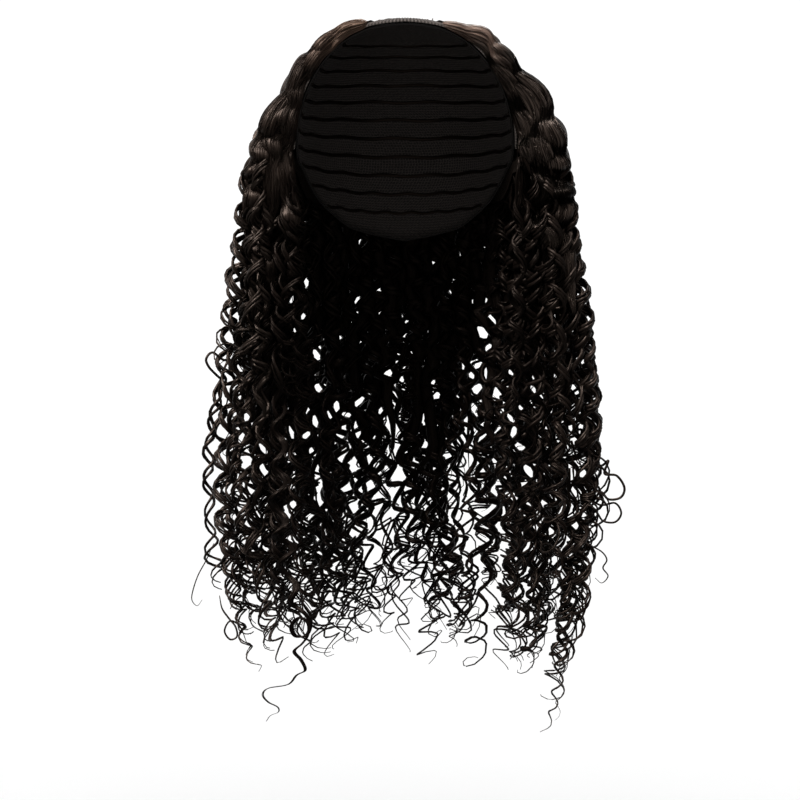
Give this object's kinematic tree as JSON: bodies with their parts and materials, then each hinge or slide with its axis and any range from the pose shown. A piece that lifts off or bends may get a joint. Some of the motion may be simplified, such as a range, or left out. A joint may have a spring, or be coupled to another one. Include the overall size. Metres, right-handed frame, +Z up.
{
  "type": "u-part wig",
  "caption": "Long curly u-part wig: stretch cap with an open parting at the top front, an elastic edge band, layered crown hair and hanging curled locks.",
  "frame": {"origin": "on the cap's inside at the crown of the head, where the wig sits", "axes": "+Z up, the wearer's face towards -Y, +X to the right as seen from the front"},
  "size_m": [0.288, 0.1977, 0.5179],
  "materials": {
    "hair": "dark brown-black curled hair, soft sheen",
    "cap_net": "dark stretch net, matt",
    "elastic": "grey-brown ribbed elastic, matt"
  },
  "bodies": {
    "root": {"cap": "cap_net", "crown_hair_back_left": "hair", "crown_hair_back_middle": "hair", "crown_hair_back_right": "hair", "crown_hair_left": "hair", "crown_hair_right": "hair", "front_lock": "hair", "inner_lock_01": "hair", "inner_lock_02": "hair", "inner_lock_03": "hair", "inner_lock_04": "hair", "inner_lock_05": "hair", "inner_lock_06": "hair", "inner_lock_07": "hair", "inner_lock_08": "hair", "inner_lock_09": "hair", "inner_lock_10": "hair", "inner_lock_11": "hair", "inner_lock_12": "hair", "outer_lock_01": "hair", "outer_lock_02": "hair", "outer_lock_03": "hair", "outer_lock_04": "hair", "outer_lock_05": "hair", "outer_lock_06": "hair", "outer_lock_07": "hair", "outer_lock_08": "hair", "outer_lock_09": "hair", "outer_lock_10": "hair", "outer_lock_11": "hair", "outer_lock_12": "hair", "outer_lock_13": "hair", "outer_lock_14": "hair", "outer_lock_15": "hair", "outer_lock_16": "hair", "u_part_band": "elastic"}
  },
  "joints": []
}
